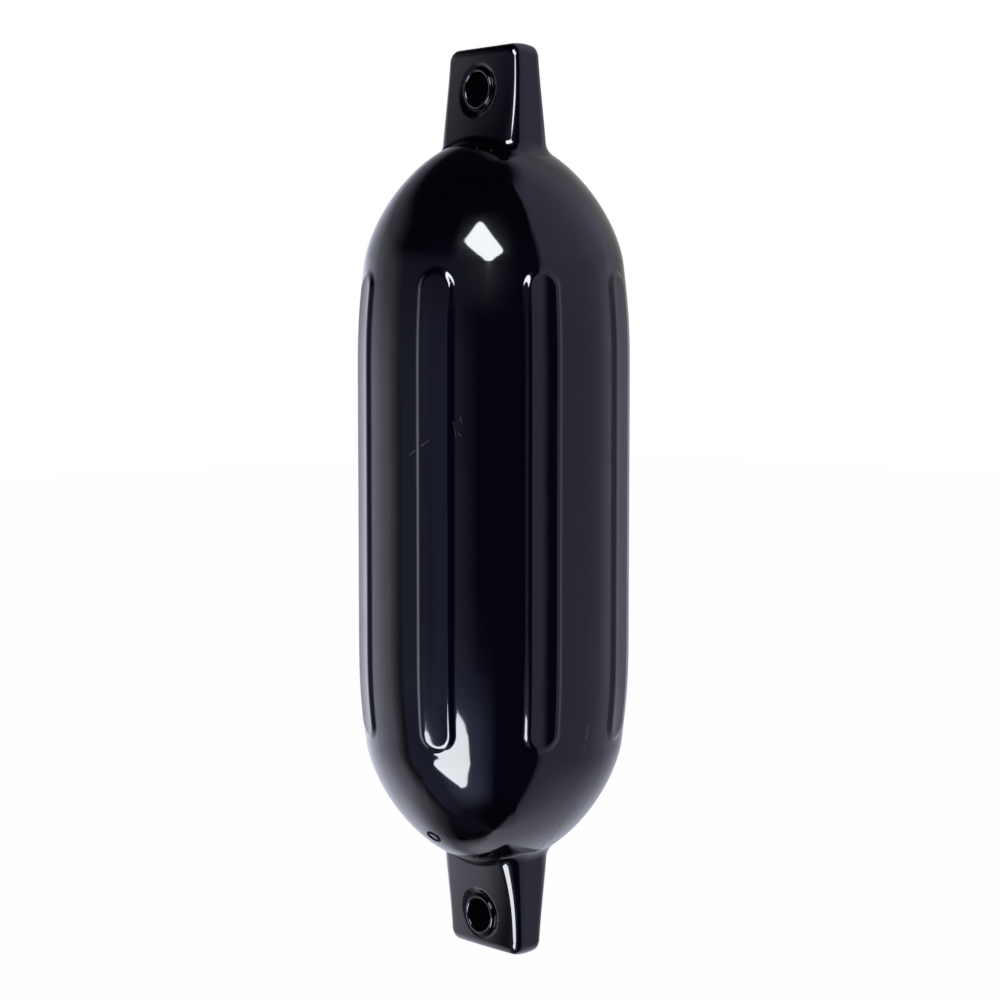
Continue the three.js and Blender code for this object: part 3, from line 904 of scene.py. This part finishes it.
print("panels:", len(LEFT_PANELS), "to the left and", len(RIGHT_PANELS), "to the right")

# %% Which panels a ray sees
WHITE = (1.0, 1.0, 1.0, 1.0)
FULL_TURN, BEHIND, BEHIND_BLEND = 360.0, 180.0, 40.0
LEAN_FROM, LEAN = 45.0, 0.5


def ray_angles(tree):
    """Azimuth and elevation of a ray, in degrees from the direction of the camera."""
    ray = add(tree, "ShaderNodeTexCoord").outputs["Generated"]
    spin_feeds = [(ray, "Vector"), ((0.0, 0.0, 1.0), "Axis"), (-math.radians(AZIMUTH), "Angle")]
    spun = add(tree, "ShaderNodeVectorRotate", spin_feeds, rotation_type="AXIS_ANGLE").outputs[0]
    axes = add(tree, "ShaderNodeSeparateXYZ", [(spun, "Vector")]).outputs
    ahead = maths(tree, "MULTIPLY", axes["Y"], -1.0)
    azimuth = maths(tree, "DEGREES", maths(tree, "ARCTAN2", axes["X"], ahead))
    return azimuth, maths(tree, "DEGREES", maths(tree, "ARCSINE", axes["Z"]))


def room_light(tree):
    """Both sides of the room. Straight behind the fender they fade into each other."""
    azimuth, rise = ray_angles(tree)
    far_right = maths(tree, "GREATER_THAN", azimuth, BEHIND / 2)
    far_left = maths(tree, "LESS_THAN", azimuth, -BEHIND / 2)
    left_turn = maths(tree, "SUBTRACT", azimuth, maths(tree, "MULTIPLY", far_right, FULL_TURN))
    right_turn = maths(tree, "ADD", azimuth, maths(tree, "MULTIPLY", far_left, FULL_TURN))
    # The right wall's edge leans at its top.
    past = maths(tree, "MAXIMUM", maths(tree, "SUBTRACT", rise, LEAN_FROM), 0.0)
    leaning = maths(tree, "SUBTRACT", right_turn, maths(tree, "MULTIPLY", past, LEAN))
    left_share = soft_step(tree, left_turn, -BEHIND, BEHIND_BLEND, True)
    right_share = soft_step(tree, right_turn, BEHIND, BEHIND_BLEND, False)
    left = panel_sum(tree, left_turn, rise, LEFT_PANELS)
    right = panel_sum(tree, leaning, rise, RIGHT_PANELS)
    total = vectors(tree, "MULTIPLY_ADD", left_share, left, UNLIT)[0]
    return vectors(tree, "MULTIPLY_ADD", right_share, right, total)[0]


def make_world():
    world = bpy.data.worlds.new("studio")
    bpy.context.scene.world = world
    world.use_nodes = True
    tree = world.node_tree
    tree.nodes.clear()
    room = add(tree, "ShaderNodeBackground", [(room_light(tree), "Color")]).outputs[0]
    white = add(tree, "ShaderNodeBackground", [(WHITE, "Color")]).outputs[0]
    path = add(tree, "ShaderNodeLightPath").outputs
    plain = maths(tree, "MAXIMUM", path["Is Camera Ray"], path["Is Diffuse Ray"])
    mix = add(tree, "ShaderNodeMixShader", [(plain, 0), (room, 1), (white, 2)])
    add(tree, "ShaderNodeOutputWorld", [(mix.outputs[0], "Surface")])
    return world


world = make_world()
print("world ready, with", len(world.node_tree.nodes), "nodes")

# %% [markdown]
# ## Floor
# The fender hangs clear of a pale floor, which runs on into the white behind. Most of the floor's white is
# its own colour to the camera, and the rest is lit, so that a soft shadow stays below the fender. The gloss
# looks past the floor to the room, and the floor is clear from below, so no view is blocked.

# %% Floor
FLOOR_Z = -0.62
FLOOR_REACH = 9.0
OWN_WHITE = 0.5


def make_floor_finish():
    mat = bpy.data.materials.new("pale_floor")
    mat.use_nodes = True
    tree = mat.node_tree
    tree.nodes.clear()
    path = add(tree, "ShaderNodeLightPath").outputs
    mirrored = maths(tree, "MAXIMUM", path["Is Glossy Ray"], path["Is Transmission Ray"])
    seen = maths(tree, "MAXIMUM", path["Is Camera Ray"], mirrored)
    lit = add(tree, "ShaderNodeBsdfDiffuse", [(WHITE, "Color")]).outputs[0]
    glow = add(tree, "ShaderNodeEmission", [(WHITE, "Color"), (1.0, "Strength")]).outputs[0]
    top_feeds = [(maths(tree, "MULTIPLY", seen, OWN_WHITE), 0), (lit, 1), (glow, 2)]
    top = add(tree, "ShaderNodeMixShader", top_feeds).outputs[0]
    clear = add(tree, "ShaderNodeBsdfTransparent").outputs[0]
    below = add(tree, "ShaderNodeNewGeometry").outputs["Backfacing"]
    both = add(tree, "ShaderNodeMixShader", [(below, 0), (top, 1), (clear, 2)])
    add(tree, "ShaderNodeOutputMaterial", [(both.outputs[0], "Surface")])
    return mat


def make_floor():
    mesh = bpy.data.meshes.new("floor")
    sides = [(-1, -1), (1, -1), (1, 1), (-1, 1)]
    mesh.from_pydata([(x * FLOOR_REACH, y * FLOOR_REACH, FLOOR_Z) for x, y in sides], [], [(0, 1, 2, 3)])
    mesh.materials.append(make_floor_finish())
    floor = place("floor", mesh)
    floor.visible_glossy = False
    return floor


floor = make_floor()
print("floor at", FLOOR_Z, "m")

# %% Settings: the view transform
bpy.context.scene.view_settings.view_transform = "Standard"
